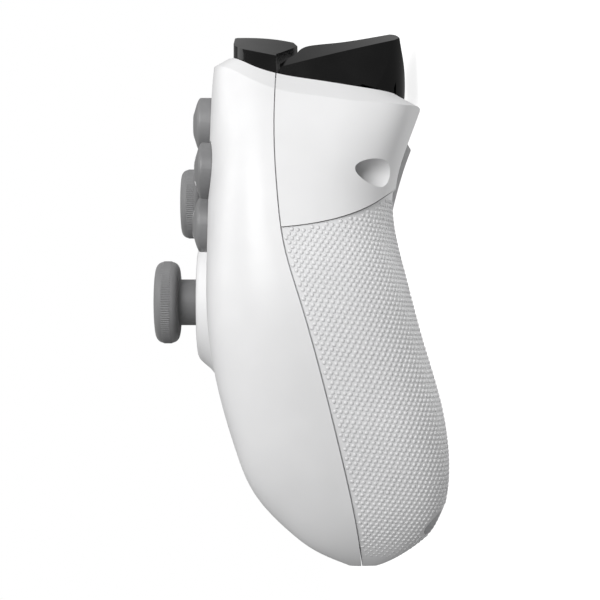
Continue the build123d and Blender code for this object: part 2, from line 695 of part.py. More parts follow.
# ================================================================ buttons and direction pad
def face_button(name):
    """A domed button with a retaining flange."""
    x, y = button_places()[name]
    top = BUTTON_TOPS[name]
    shoulder = top - 1.3
    radius = BUTTON_R
    outline = Polyline((0, top), (0, FLANGE_Z[0]), (radius, FLANGE_Z[0]), (radius, shoulder - 0.4))
    outline += Spline((radius, shoulder - 0.4), (radius - 0.45, shoulder + 0.25), (radius * 0.5, top - 0.25), (0, top),
                      tangents=[(0, 1), (-1, 0)])
    cap = revolve(Plane.XZ * make_face(outline), Axis.Z)
    return Pos(x, y) * cap + rod_z(x, y, *FLANGE_Z, radius + FLANGE_RIM)


def centre_button(name):
    x, y, outline, top = CENTRE_BUTTONS[name]
    cap = prism_xy(Pos(x, y) * outline(0), 12.2, top)
    cap = fillet(cap.faces().sort_by(Axis.Z)[-1].edges(), 0.5)
    return cap + prism_xy(Pos(x, y) * outline(0.8), 12.2, 13.2)


def dpad():
    """A cross with dished top, resting on its rocker."""
    x, y = DPAD
    pad = prism_xy(Pos(x, y) * cross(*DPAD_ARM), DPAD_FLANGE_Z[0], DPAD_TOP_Z)
    pad = fillet(pad.faces().sort_by(Axis.Z)[-1].edges(), 0.7)
    pad -= Pos(x, y, DPAD_TOP_Z + 39.2) * Sphere(40)
    return pad + rod_z(x, y, *DPAD_FLANGE_Z, DPAD_FLANGE_R)


def dpad_rocker():
    x, y = DPAD
    return block(x - 2.5, x + 2.5, y - 5, y + 5, 10.2, 11.1)


def rubber_mat(domes, outline):
    """A silicone sheet with a dome under each contact."""
    sheet = prism_xy(outline, *MAT_Z)
    for x, y, radius in domes:
        height = MAT_DOME_Z - MAT_Z[1] + 0.2
        sheet += Pos(x, y, MAT_DOME_Z - height / 2) * Cone(radius, radius - 0.9, height)
    return sheet


def button_mat():
    domes = [(x, y, 3) for x, y in button_places().values()]
    x, y = BUTTON_CENTRE
    return rubber_mat(domes, Pos(x, y) * Rot(0, 0, 45) * RectangleRounded(22.6, 22.6, 3))


def dpad_mat():
    x, y = DPAD
    domes = [(x + 8.6 * dx, y + 8.6 * dy, 2) for dx, dy in ((1, 0), (-1, 0), (0, 1), (0, -1))]
    sheet = prism_xy(Pos(x, y) * RectangleRounded(23, 23, 3), *MAT_Z)
    for dome_x, dome_y, radius in domes:
        sheet += rod_z(dome_x, dome_y, MAT_Z[1] - 0.1, MAT_DOME_Z, radius)
    return sheet


# ================================================================ rear paddles
def paddle():
    """The right rear paddle: a wedge that turns about a trunnion at its lower end."""
    x0, x1 = PADDLE_X
    y, z = PADDLE_PIN
    profile = make_face(Polyline((9.4, -14.2), (9.2, -17.2)) + Spline(
        (9.2, -17.2), (14, -18.2), (22.5, -20.2), (31, -23.0)) + Polyline(
        (31, -23.0), (32.4, -22.2), (32.9, -14.2), (9.4, -14.2)))
    wedge = prism_yz(profile, x0, x1)
    wedge = fillet(wedge.edges().filter_by(Axis.X).sort_by(Axis.Z)[:2], 0.6)
    wedge -= block(x0 + 1.5, x1 - 1.5, 13, 31, -18, -10)
    return wedge + rod_x(y, z, x0 - 2.0, x1 + 2.0, PADDLE_PIN_R)


# ================================================================ boards, frame, battery, motors, ports
FRAME_SCREWS = [(9, -6.5), (28, 29.5)]


def main_board(inner_form):
    x1, y0, y1 = 52, -10, 33
    board = polygon([(-x1, y1), (-x1, 8), (-44, -4), (-40, y0), (40, y0), (44, -4), (x1, 8), (x1, y1),
                     (8, y1), (8, 39.9), (-8, 39.9), (-8, y1)])
    board = prism_xy(board, *MAIN_BOARD_Z) & inner_form
    for x, y in FRAME_SCREWS:
        board -= both(rod_z(x, y, -5, 10, 1.2))
    chips = block(-6, 4, 10, 20, MAIN_BOARD_Z[1], MAIN_BOARD_Z[1] + 1.2)
    return board + chips


def button_board(inner_form):
    outline = polygon([(-49.8, 38), (-49.8, 34.8), (-58, 34.8), (-58, 12), (-38, -11), (38, -11), (58, 12),
                       (58, 34.8), (49.8, 34.8), (49.8, 40.3), (26, 40.3), (20, 36.5), (-20, 36.5), (-26, 38)])
    board = prism_xy(outline, *BUTTON_BOARD_Z) & inner_form
    for name in STICKS:
        x, y, _ = stick_pivot(name)
        board -= rod_z(x, y, 0, 20, DOME_R + 0.9)
    for x, y in FRAME_SCREWS:
        board -= both(rod_z(x, y, 0, 20, 2.6))
    return board


def board_header():
    """The pin header between the two boards."""
    return block(-9, 0, 2, 5, MAIN_BOARD_Z[1], BUTTON_BOARD_Z[0])


def mid_frame(inner_form):
    """The frame that carries the boards, the trigger pins and the motors."""
    plate = polygon([(-50, 31), (-50, 8), (-45, -5), (-38, -9), (-5, -9), (-5, -1), (5, -1), (5, -9),
                     (38, -9), (45, -5), (50, 8), (50, 31)])
    frame = prism_xy(plate, *FRAME_Z)
    for x, y in FRAME_SCREWS:
        frame += both(rod_z(x, y, FRAME_Z[1], MAIN_BOARD_Z[0], 2.6))
    y, z = TRIGGER_PIN
    arm = polygon([(26, FRAME_Z[0]), (26, FRAME_Z[1]), (33.6, 0.6), (38.3, 3.2), (41.7, -0.3), (36, FRAME_Z[0])])
    for x0 in (30, 43):
        frame += both(prism_yz(arm, x0, x0 + 3) + rod_x(y, z, x0, x0 + 3, 2.4))
    frame += both(motor_cradle())
    frame -= both(rod_x(y, z, 20, 50, TRIGGER_PIN_R + 0.02))
    for x, y in FRAME_SCREWS:
        frame -= both(rod_z(x, y, -5, 5, 0.95))
    return frame & inner_form


def motor_cradle():
    x, y = MOTOR
    ring = rod_z(x, y, -9, -4, MOTOR_R + 1.5)
    arm = prism_xy(polygon([(42, -2), (47, -2), (58, -13), (53, -17)]), -7, -4)
    arm += prism_xy(polygon([(42, -2), (47, -2), (44.6, -5), (41, -5)]), -4.5, FRAME_Z[1])
    return ring + arm - rod_z(x, y, -20, 5, MOTOR_R + 0.02)


def motor():
    x, y = MOTOR
    can = rod_z(x, y, -19, -3, MOTOR_R)
    can = chamfer(can.edges().filter_by(GeomType.CIRCLE), 0.6)
    return can + rod_z(x, y, -4, 3.4, 1.0)


def motor_weight():
    """The off-centre weight on the motor's shaft."""
    x, y = MOTOR
    sector = rod_z(x, y, -2.2, 2.8, WEIGHT_R) & block(x - 20, x + 20, y, y + 20, -10, 10)
    sector += rod_z(x, y, -2.2, 2.8, 2.6)
    return sector - rod_z(x, y, -10, 10, 1.0 + PIN_GAP)


def battery():
    pack = block(-19, 19, -0.5, 27.5, -12.6, -3.0)
    return fillet(pack.edges().filter_by(Axis.Y), 2.5)


def usb_connector():
    """A USB-C receptacle on the board's tongue."""
    z0, z1 = MAIN_BOARD_Z[1], 2 * USB_Z - MAIN_BOARD_Z[1]
    height = z1 - z0
    shell = Pos(0, 43.4, USB_Z) * Rot(90, 0, 0) * extrude(SlotOverall(9.0, height), 8.6)
    shell -= Pos(0, 43.5, USB_Z) * Rot(90, 0, 0) * extrude(SlotOverall(8.4, height - 0.6), 6.6)
    return shell + block(-3.4, 3.4, 36, 42.6, USB_Z - 0.35, USB_Z + 0.35)


def headset_jack():
    body = block(-3.2, 3.2, -14.2, -1.9, JACK_Z - 3.1, JACK_Z + 3.1)
    body += rod_y(0, JACK_Z, -16.7, -14, 3.1)
    return body - rod_y(0, JACK_Z, -20, -16.7 + JACK_DEPTH, JACK_BORE_R)


def bumper_switch():
    """An upright tact switch under the outer end of a bumper, on its own small board."""
    board = block(50.4, 58, 35.4, 36.8, 4.5, 12)
    return board + block(51, 57, 36.8, 39.6, 5.4, 11) + rod_y(54, 8.2, 39, 40.6, 1.4)


def frame_screws():
    screws = []
    for x, y in FRAME_SCREWS:
        screws += both(rod_z(x, y, MAIN_BOARD_Z[1], MAIN_BOARD_Z[1] + 1.2, 1.9)
                       + rod_z(x, y, FRAME_Z[0], MAIN_BOARD_Z[1], 0.9))
    return Compound(children=screws)


# ================================================================ assembly
def build():
    """Every piece in the design frame, by name."""
    form = lipped_form()
    for place in STICKS.values():
        form += stick_boss(*place)
    hollow = cavity()
    shell = form - hollow
    inner_form = body_loft(WALL + 0.4)
    parts = {
        "front_shell": front_shell(shell),
        "rear_shell": rear_shell(shell, form),
        "grip_panel_right": grip_panel(1, hollow),
        "grip_panel_left": grip_panel(-1, hollow),
        "shell_screws": shell_screws(),
        "top_bridge": top_bridge(),
        "bumper_pins": bumper_pins(),
        "trigger_pins": trigger_pins(),
        "dpad": dpad(),
        "dpad_rocker": dpad_rocker(),
        "dpad_mat": dpad_mat(),
        "button_mat": button_mat(),
        "main_board": main_board(inner_form),
        "button_board": button_board(inner_form),
        "board_header": board_header(),
        "mid_frame": mid_frame(inner_form),
        "frame_screws": frame_screws(),
        "battery": battery(),
        "usb_connector": usb_connector(),
        "headset_jack": headset_jack(),
    }
    sided = {
        "bumper": bumper(), "trigger": trigger(), "trigger_magnet": trigger_magnet(),
        "trigger_sensor": trigger_sensor(), "trigger_spring": trigger_spring(), "paddle": paddle(),
        "motor": motor(), "motor_weight": motor_weight(), "bumper_switch": bumper_switch(),
    }
    for name, shape in sided.items():
        parts[name + "_right"] = shape
        parts[name + "_left"] = mirrored(shape)
    for name in STICKS:
        parts["stick_" + name] = stick_cap(name)
        parts["stick_ring_" + name] = stick_ring(name)
        parts["stick_housing_" + name] = stick_housing(name)
        parts["stick_frame_" + name] = stick_frame(name)
        parts["stick_arch_" + name] = stick_arch(name)
        parts["stick_hub_" + name] = stick_hub(name)
    for name in button_places():
        parts["button_" + name] = face_button(name)
    for name in CENTRE_BUTTONS:
        parts[name] = centre_button(name)
    return parts


# Resting points of the back, as (y, z): a grip's heel and a trigger guard's corner
HEEL = (-31.4, -28.9)
GUARD = (37.2, -23.9)
REST_TILT = math.degrees(math.atan2(HEEL[1] - GUARD[1], GUARD[0] - HEEL[0]))


def place(parts):
    """Tips the controller onto its back and sets the origin under the middle of its box."""
    tipped = {name: Rot(REST_TILT, 0, 0) * shape for name, shape in parts.items()}
    points = [point for shape in tipped.values() for point in shape.tessellate(0.05)[0]]
    low = [min(getattr(point, axis) for point in points) for axis in "XYZ"]
    high = [max(getattr(point, axis) for point in points) for axis in "XYZ"]
    shift = (-(low[0] + high[0]) / 2, -(low[1] + high[1]) / 2, -low[2])
    return {name: Pos(*shift) * shape for name, shape in tipped.items()}, shift


def main():
    os.makedirs("parts", exist_ok=True)
    parts, shift = place(build())
    for name, shape in parts.items():
        export_step(shape, f"parts/{name}.step")
    print("nodes", len(parts), "tilt", round(REST_TILT, 4), "shift", [round(s, 4) for s in shift])


if __name__ == "__main__":
    main()
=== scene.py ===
import bmesh
import bpy
import json
import math
from mathutils import Matrix, Vector
from mathutils.bvhtree import BVHTree
from mathutils.kdtree import KDTree


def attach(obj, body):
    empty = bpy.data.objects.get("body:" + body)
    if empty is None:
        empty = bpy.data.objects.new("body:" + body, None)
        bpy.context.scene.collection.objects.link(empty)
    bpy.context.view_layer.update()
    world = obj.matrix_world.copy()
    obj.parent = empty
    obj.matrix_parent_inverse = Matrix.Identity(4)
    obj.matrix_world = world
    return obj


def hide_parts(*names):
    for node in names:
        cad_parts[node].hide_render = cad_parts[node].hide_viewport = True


# A twin-grip wireless game controller: white shell, textured grips, grey sticks and buttons,
# black bumpers and triggers.
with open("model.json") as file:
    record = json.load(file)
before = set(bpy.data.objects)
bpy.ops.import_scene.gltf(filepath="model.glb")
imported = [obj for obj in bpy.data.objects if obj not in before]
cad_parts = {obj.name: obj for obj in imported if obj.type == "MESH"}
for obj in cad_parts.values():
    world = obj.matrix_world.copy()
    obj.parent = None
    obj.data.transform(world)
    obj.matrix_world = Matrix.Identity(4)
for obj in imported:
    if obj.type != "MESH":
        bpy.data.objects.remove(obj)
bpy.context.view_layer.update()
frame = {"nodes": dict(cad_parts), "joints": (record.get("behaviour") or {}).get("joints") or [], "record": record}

MM = 0.001

# ================================================================ the design frame
# Sizes below are in millimetres in the design frame: X to the player's right, Y towards the triggers,
# Z out of the face. The controller lies on its back, tipped a little about X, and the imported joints
# say how: the trigger's pin gives the place, and a stick's upper pivot the direction of Y.
joints = {joint["name"]: joint for joint in frame["joints"]}
TRIGGER_PIN = Vector((38, 40, 1.5))
towards_triggers = Vector(joints["stick_right_tilt_x"]["axis"])
TIP = Matrix.Rotation(math.atan2(towards_triggers.z, towards_triggers.y), 3, "X")
ORIGIN = Vector(joints["trigger_right_pull"]["pos_m"]) - TIP @ TRIGGER_PIN * MM


def at(x, y, z):
    """A place in the design frame, as a place in the scene."""
    return ORIGIN + TIP @ Vector((x, y, z)) * MM


def along(x, y, z):
    """A direction in the design frame, as a direction in the scene."""
    return (TIP @ Vector((x, y, z))).normalized()


def design(place):
    """A place in the scene, as a place in the design frame."""
    return TIP.transposed() @ (Vector(place) - ORIGIN) / MM


# ================================================================ camera, floor and light
CAMERA_DISTANCE = 350
CAMERA_ANGLE = 22.24        # width of the view in degrees


def add_camera():
    """A camera level with the controller's middle, looking at its right-hand side, triggers up."""
    data = bpy.data.cameras.new("camera")
    data.angle = math.radians(CAMERA_ANGLE)
    data.clip_start = 0.01
    camera = bpy.data.objects.new("camera", data)
    bpy.context.scene.collection.objects.link(camera)
    turn = Matrix((along(0, 0, -1), along(0, 1, 0), along(1, 0, 0))).transposed()
    camera.matrix_world = Matrix.Translation(at(CAMERA_DISTANCE, 0, 0)) @ turn.to_4x4()
    bpy.context.scene.camera = camera


def add_light(name, place, size, power, mirrored=True):
    """A round soft light, aimed at the controller's middle; glossy pieces mirror it or don't."""
    data = bpy.data.lights.new(name, "AREA")
    data.shape = "DISK"
    data.size = size
    data.energy = power
    lamp = bpy.data.objects.new(name, data)
    bpy.context.scene.collection.objects.link(lamp)
    lamp.location = place
    lamp.visible_glossy = mirrored
    lamp.rotation_euler = (at(0, 0, 0) - Vector(place)).to_track_quat("-Z", "Y").to_euler()


def add_world(seen, lit):
    """A white surround. It looks as bright as seen, and lights the controller as brightly as lit."""
    world = bpy.data.worlds.new("studio")
    bpy.context.scene.world = world
    world.use_nodes = True
    tree = world.node_tree
    background = tree.nodes["Background"]
    background.inputs["Color"].default_value = (1, 1, 1, 1)
    path = tree.nodes.new("ShaderNodeLightPath")
    strength = tree.nodes.new("ShaderNodeMapRange")
    strength.inputs["To Min"].default_value = lit
    strength.inputs["To Max"].default_value = seen
    tree.links.new(path.outputs["Is Camera Ray"], strength.inputs["Value"])
    tree.links.new(strength.outputs["Result"], background.inputs["Strength"])
    bpy.context.scene.view_settings.view_transform = "Standard"


def add_floor():
    """A pale floor that takes soft shadows, but throws no light back up at the controller."""
    bpy.ops.mesh.primitive_plane_add(size=8)
    floor = bpy.context.object
    floor.name = "floor"
    floor.visible_diffuse = False
    floor.visible_glossy = False
    floor.visible_shadow = False
    paint = bpy.data.materials.new("floor")
    paint.use_nodes = True
    shader = paint.node_tree.nodes["Principled BSDF"]
    shader.inputs["Base Color"].default_value = (0.5, 0.5, 0.5, 1)
    shader.inputs["Emission Color"].default_value = (1, 1, 1, 1)
    shader.inputs["Emission Strength"].default_value = 0.85
    shader.inputs["Roughness"].default_value = 0.9
    shader.inputs["Specular IOR Level"].default_value = 0.1
    floor.data.materials.append(paint)


add_camera()
add_world(seen=1.0, lit=0.3)
add_light("key", (0.8, 0.39, 0.42), 0.7, 7.5)
add_light("overhead", (-0.1, 0.35, 0.9), 0.6, 1.6)
add_light("rim", (-0.5, 0.12, -0.6), 0.4, 4.6, mirrored=False)
add_light("top", (0.05, 0.9, -0.15), 0.5, 1.5, mirrored=False)
add_floor()


# ================================================================ material helpers
def new_paint(name, colour, **sockets):
    """A principled material; other sockets are given by name, with _ for a space."""
    material = bpy.data.materials.new(name)
    material.use_nodes = True
    shader = material.node_tree.nodes["Principled BSDF"]
    shader.inputs["Base Color"].default_value = (*colour, 1)
    for socket, value in sockets.items():
        shader.inputs[socket.replace("_", " ")].default_value = value
    return material


def add_node(material, kind, **inputs):
    node = material.node_tree.nodes.new("ShaderNode" + kind)
    for socket, value in inputs.items():
        node.inputs[socket.replace("_", " ")].default_value = value
    return node


def join(material, source, target):
    material.node_tree.links.new(source, target)


def shader_of(material):
    return material.node_tree.nodes["Principled BSDF"]


def noise(material, size, detail=2.0, stretch=(1, 1, 1)):
    """Noise with features about size millimetres across, fixed to the piece."""
    place = add_node(material, "TexCoord")
    mapping = add_node(material, "Mapping", Scale=stretch)
    grain = add_node(material, "TexNoise", Scale=1 / (size * MM), Detail=detail)
    join(material, place.outputs["Object"], mapping.inputs["Vector"])
    join(material, mapping.outputs["Vector"], grain.inputs["Vector"])
    return grain.outputs["Fac"]


def vary(material, value, socket, low, high):
    """A socket that drifts between low and high with a noise."""
    spread = add_node(material, "MapRange", From_Min=0.3, From_Max=0.7, To_Min=low, To_Max=high)
    join(material, value, spread.inputs["Value"])
    join(material, spread.outputs["Result"], shader_of(material).inputs[socket])


def tint(material, value, first, second, start=0.35, stop=0.65):
    """A base colour that runs from first to second as value grows."""
    ramp = add_node(material, "ValToRGB")
    for stop_node, place, colour in zip(ramp.color_ramp.elements, (start, stop), (first, second)):
        stop_node.position = place
        stop_node.color = (*colour, 1)
    join(material, value, ramp.inputs["Fac"])
    join(material, ramp.outputs["Color"], shader_of(material).inputs["Base Color"])


def emboss(material, value, strength, depth):
    """Relief about depth millimetres deep."""
    bump = add_node(material, "Bump", Strength=strength, Distance=depth * MM)
    join(material, value, bump.inputs["Height"])
    join(material, bump.outputs["Normal"], shader_of(material).inputs["Normal"])


def moulded(name, dark, light, rough, grain=0.22, relief=0.02, **sockets):
    """Moulded plastic: faint drift of shade and gloss, and a fine eroded grain."""
    material = new_paint(name, light, **sockets)
    tint(material, noise(material, 14), dark, light)
    vary(material, noise(material, 5, 4), "Roughness", *rough)
    emboss(material, noise(material, grain, 1), 0.5, relief)
    return material


# ================================================================ materials, one for each slot
def grey(value, blue=0.0):
    return (value, value, value + blue)


def circuit_board():
    """Green solder mask with paler strips over the copper."""
    material = new_paint("circuit_board", (0.01, 0.09, 0.05), Coat_Weight=0.4, Coat_Roughness=0.2)
    place = add_node(material, "TexCoord")
    cells = add_node(material, "TexVoronoi", Scale=1 / (4 * MM), Randomness=0.6)
    cells.distance = "MANHATTAN"
    cells.feature = "F1"
    join(material, place.outputs["Object"], cells.inputs["Vector"])
    wave = material.node_tree.nodes.new("ShaderNodeMath")
    wave.operation = "PINGPONG"
    wave.inputs[1].default_value = 0.12
    join(material, cells.outputs["Distance"], wave.inputs[0])
    tint(material, wave.outputs["Value"], (0.008, 0.07, 0.035), (0.02, 0.16, 0.09), 0.05, 0.07)
    vary(material, noise(material, 3), "Roughness", 0.3, 0.45)
    return material


def metal(name, dark, light, rough, stretch=(1, 1, 1)):
    """Plated or drawn metal with faint streaks."""
    material = new_paint(name, light, Metallic=1.0)
    tint(material, noise(material, 1.2, 4, stretch), dark, light)
    vary(material, noise(material, 0.5, 3, stretch), "Roughness", *rough)
    emboss(material, noise(material, 0.3, 2, stretch), 0.3, 0.01)
    return material


def battery_wrap():
    """Shrink film with soft wrinkles."""
    material = moulded("battery_wrap", (0.10, 0.12, 0.16), (0.17, 0.19, 0.24), (0.22, 0.34), Coat_Weight=0.3)
    emboss(material, noise(material, 3.5, 3, (1, 0.3, 1)), 0.6, 0.15)
    return material


PAINTS = {
    "shell_white": moulded("shell_white", grey(0.79, 0.004), grey(0.83, 0.004), (0.34, 0.42)),
    "grip_white": moulded("grip_white", grey(0.77, 0.006), grey(0.81, 0.006), (0.46, 0.56), 0.3, 0.02),
    "black_satin": moulded("black_satin", grey(0.002), grey(0.004), (0.12, 0.18), 0.18, 0.004,
                           Specular_IOR_Level=0.35),
    "button_grey": moulded("button_grey", grey(0.19, 0.003), grey(0.22, 0.003), (0.36, 0.46)),
    "stick_grey": moulded("stick_grey", grey(0.19, 0.003), grey(0.22, 0.003), (0.52, 0.64), 0.3, 0.03,
                          Sheen_Weight=0.15),
    "paddle_grey": moulded("paddle_grey", grey(0.62, 0.004), grey(0.67, 0.004), (0.36, 0.46)),
    "acetal": moulded("acetal", grey(0.26, 0.003), grey(0.30, 0.003), (0.18, 0.26), 0.4, 0.005),
    "inner_black": moulded("inner_black", grey(0.025), grey(0.045), (0.5, 0.65), 0.4, 0.03),
    "silicone": moulded("silicone", grey(0.60, 0.02), grey(0.68, 0.02), (0.5, 0.6), 0.6, 0.01,
                        Subsurface_Weight=0.3, Subsurface_Scale=0.002),
    "circuit_board": circuit_board(),
    "steel": metal("steel", grey(0.50), grey(0.62), (0.2, 0.34), (1, 1, 4)),
    "dark_steel": metal("dark_steel", grey(0.10), grey(0.16), (0.3, 0.45)),
    "motor_can": metal("motor_can", grey(0.45), grey(0.58), (0.22, 0.36), (1, 1, 5)),
    "magnet": metal("magnet", grey(0.62), grey(0.74), (0.1, 0.18)),
    "battery_wrap": battery_wrap(),
}


def paint_cad_nodes():
    slots = {entry["node"]: entry["material_slot"] for entry in frame["record"]["subparts"]}
    for node, thing in frame["nodes"].items():
        thing.data.materials.clear()
        thing.data.materials.append(PAINTS[slots[node]])


paint_cad_nodes()


# ================================================================ mesh helpers
def add_piece(name, corners, faces, slot, body, smooth=True):
    """A new mesh piece from corners in scene metres."""
    mesh = bpy.data.meshes.new(name)
    mesh.from_pydata([tuple(corner) for corner in corners], [], faces)
    mesh.update()
    for face in mesh.polygons:
        face.use_smooth = smooth
    mesh.materials.append(PAINTS[slot])
    piece = bpy.data.objects.new(name, mesh)
    bpy.context.scene.collection.objects.link(piece)
    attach(piece, body)
    return piece


def merged(node):
    """A node's mesh with its faces sewn together, as a bmesh."""
    form = bmesh.new()
    form.from_mesh(frame["nodes"][node].data)
    bmesh.ops.remove_doubles(form, verts=form.verts, dist=0.004 * MM)
    return form


# ================================================================ front shell with its shading mended
WRONG_NORMAL = 50           # a corner's normal further than this, in degrees, from its face's is wrong


def mended(node, body):
    """The same mesh as a CAD node's, without the few corner normals that point along slivers."""
    mesh = frame["nodes"][node].data.copy()
    normals = [corner.vector.copy() for corner in mesh.corner_normals]
    for face in mesh.polygons:
        for corner in face.loop_indices:
            if normals[corner].angle(face.normal, 0) > math.radians(WRONG_NORMAL):
                normals[corner] = face.normal.copy()
    mesh.normals_split_custom_set(normals)
    piece = bpy.data.objects.new(node + "_skin", mesh)
    bpy.context.scene.collection.objects.link(piece)
    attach(piece, body)
    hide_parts(node)
    return piece


mended("front_shell", "root")


# ================================================================ grip texture
DOT_PITCH = 1.07            # along a row
ROW_PITCH = 0.87            # from row to row, down the grip
ROW_DROP = 6                # degrees by which the rows fall towards the back
DOT_RADIUS = 0.42
DOT_HEIGHT = 0.14
DOT_SIDES = 8
DOT_MARGIN = 0.52           # bare strip along the panel's edges
BORDER_ANGLE = 50           # edges sharper than this, in degrees, are borders of the panel
FADE_START = -45            # the texture fades out between these heights on the grip
FADE_END = -49.6
GRIP_AXIS = [(48, 24, -7), (54, 0, -8), (56.5, -20, -10), (57, -36, -12), (56.5, -49, -12.5)]
RAY_START = 60              # rays come in from this far off the grip's middle, and stop this close to it
RAY_STOP = 4
GLANCING = -0.35            # a ray that meets the surface flatter than this is left out
TOP_ROW = 30                # the rows start at this height, and are spaced along the line at this angle
SPACING_ANGLE = -25
HEIGHT_STEPS = 900
SWEEP = (50, -215)          # directions around the grip, from the seam over the back to the inner side
SWEEP_STEPS = 560
MISSED_RADIUS = 20          # where a ray misses, the row goes on around the grip at this radius
LONGEST_STEP = 0.6          # a jump across a gap counts as no more than this
EDGE_SPACING = 0.25
SMALLEST_DOT = 0.08         # share of a dot's full height under which it is left out
DOT_RINGS = ((1.0, -0.08), (0.62, 0.72))    # radius and height of a dot's rings, as shares of its own


def grip_axis(y, side):
    """The middle of the grip at a height."""
    for (x0, y0, z0), (x1, y1, z1) in zip(GRIP_AXIS, GRIP_AXIS[1:]):
        if y >= y1 or (x1, y1, z1) == GRIP_AXIS[-1]:
            share = min(max((y0 - y) / (y0 - y1), 0), 1.2)
            return Vector((side * (x0 + share * (x1 - x0)), y, z0 + share * (z1 - z0)))


def edge_finder(form):
    """Places along the sharp edges of a panel, to keep the texture off them."""
    marks = []
    for edge in form.edges:
        if len(edge.link_faces) != 2 or edge.calc_face_angle() < math.radians(BORDER_ANGLE):
            continue
        first, last = (v.co for v in edge.verts)
        steps = max(1, math.ceil((last - first).length / (EDGE_SPACING * MM)))
        marks += [first.lerp(last, step / steps) for step in range(steps + 1)]
    tree = KDTree(len(marks))
    for index, mark in enumerate(marks):
        tree.insert(mark, index)
    tree.balance()
    return tree


def ray_around(surface, y, side, degrees):
    """The grip's outer surface in one direction around its middle: place and normal, or None."""
    drop = math.radians(ROW_DROP)
    turn = math.radians(degrees)
    out = Vector((side * math.cos(turn), math.sin(turn) * math.sin(drop), math.sin(turn) * math.cos(drop)))
    middle = grip_axis(y, side)
    start = at(*(middle + out * RAY_START))
    direction = -along(*out)
    place, normal, _, _ = surface.ray_cast(start, direction, (RAY_START - RAY_STOP) * MM)
    if place is None or normal.dot(direction) > GLANCING:
        return None
    return place, normal


def row_heights(surface, side):
    """Heights of the rows, evenly spaced along the grip's outer line."""
    heights = []
    previous = None
    travelled = 0
    for step in range(HEIGHT_STEPS):
        y = TOP_ROW + (FADE_END - TOP_ROW) * step / HEIGHT_STEPS
        hit = ray_around(surface, y, side, SPACING_ANGLE)
        if hit is None:
            continue
        if previous is not None:
            travelled += (hit[0] - previous).length / MM
        previous = hit[0]
        if travelled >= len(heights) * ROW_PITCH:
            heights.append(y)
    return heights


def row_of_dots(surface, y, side, offset):
    """Places a pitch apart around the grip, counted from its outermost line."""
    start, stop = SWEEP
    dots = []
    for direction in (1, -1):
        reach = (start if direction > 0 else -stop) / SWEEP_STEPS
        travelled = 0
        wanted = offset if direction > 0 else DOT_PITCH - offset
        previous = None
        for step in range(SWEEP_STEPS):
            hit = ray_around(surface, y, side, direction * reach * step)
            if hit is None:
                if previous is not None:
                    travelled += math.radians(reach) * MISSED_RADIUS
                continue
            if previous is not None:
                travelled += min((hit[0] - previous).length / MM, LONGEST_STEP)
            previous = hit[0]
            if travelled >= wanted:
                dots.append(hit)
                wanted += DOT_PITCH
    return dots


def dot(place, normal, scale, corners, faces):
    """A closed rounded dome that sits in the surface."""
    first = len(corners)
    across = normal.orthogonal().normalized()
    up = normal.cross(across)
    radius = DOT_RADIUS * MM * (0.55 + 0.45 * scale)
    height = DOT_HEIGHT * MM * scale
    for share, rise in DOT_RINGS:
        for side in range(DOT_SIDES):
            turn = 2 * math.pi * side / DOT_SIDES
            ring = across * math.cos(turn) + up * math.sin(turn)
            corners.append(place + ring * radius * share + normal * height * rise)
    corners.append(place + normal * height)
    for side in range(DOT_SIDES):
        after = (side + 1) % DOT_SIDES
        faces.append((first + side, first + after, first + DOT_SIDES + after, first + DOT_SIDES + side))
        faces.append((first + DOT_SIDES + side, first + DOT_SIDES + after, first + 2 * DOT_SIDES))
    faces.append(tuple(first + side for side in reversed(range(DOT_SIDES))))


def grip_texture(name, side):
    form = merged("grip_panel_" + name)
    surface = BVHTree.FromBMesh(form)
    edges = edge_finder(form)
    corners, faces = [], []
    for count, y in enumerate(row_heights(surface, side)):
        offset = DOT_PITCH / 2 if count % 2 else 0
        for place, normal in row_of_dots(surface, y, side, offset):
            if edges.find(place)[2] < DOT_MARGIN * MM:
                continue
            height = design(place).y
            scale = min(max((height - FADE_END) / (FADE_START - FADE_END), 0), 1)
            if scale > SMALLEST_DOT:
                dot(place, normal, scale, corners, faces)
    form.free()
    return add_piece("grip_texture_" + name, corners, faces, "grip_white", "root")


for name, side in (("right", 1), ("left", -1)):
    grip_texture(name, side)


# ================================================================ tongue inside the parting line
SEAM_LINE = [(-52, -12), (-41, -10.3), (-27.5, -7.3), (-12.7, -3.6), (0, 0), (11, 3.1), (18, 4.0),
             (31, 4.8), (43, 4.6)]       # y, z along the parting line
TONGUE_SPAN = (-47, 43)
TONGUE_STEPS = 60
TONGUE_DEPTH = (0.9, 1.9)   # its outer and inner faces, below the shell's surface
TONGUE_HALF = 1.1           # half its height
ABOVE_SEAM = 0.8            # the shell's surface is found this far above the parting line
FAR = 90


def seam_height(y):
    for (y0, z0), (y1, z1) in zip(SEAM_LINE, SEAM_LINE[1:]):
        if y <= y1:
            return z0 + (z1 - z0) * (y - y0) / (y1 - y0)


